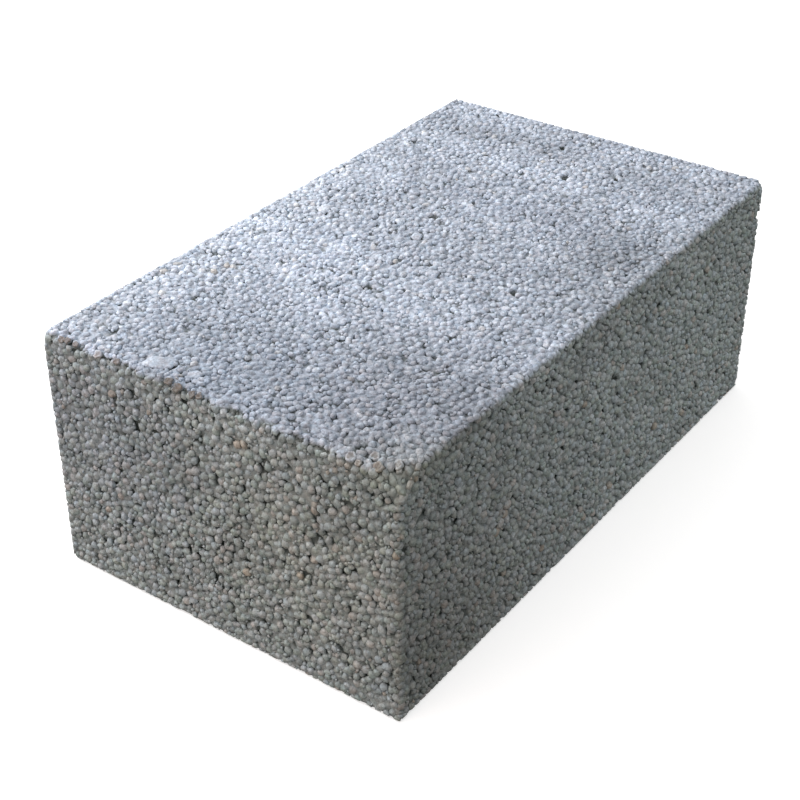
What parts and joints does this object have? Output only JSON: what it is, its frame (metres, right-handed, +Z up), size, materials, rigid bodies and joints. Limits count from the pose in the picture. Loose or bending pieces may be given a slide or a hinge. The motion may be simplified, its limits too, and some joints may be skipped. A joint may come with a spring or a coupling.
{
  "type": "concrete block",
  "caption": "Solid cuboid masonry block of open-textured lightweight aggregate concrete, laid flat in courses to build walls, with rounded arrises and worn top corners.",
  "frame": {"origin": "centre of the bottom bed face, on the floor that the block lies on", "axes": "+X along the length, +Y across the width (the thickness of the wall), +Z up, across the courses; the most worn top corner is at low X and low Y, and the top corners next to it are lightly worn"},
  "size_m": [0.49, 0.29, 0.19],
  "materials": {
    "concrete": "open-textured, grainy, matt grey"
  },
  "bodies": {
    "root": {"block": "concrete"}
  },
  "joints": []
}
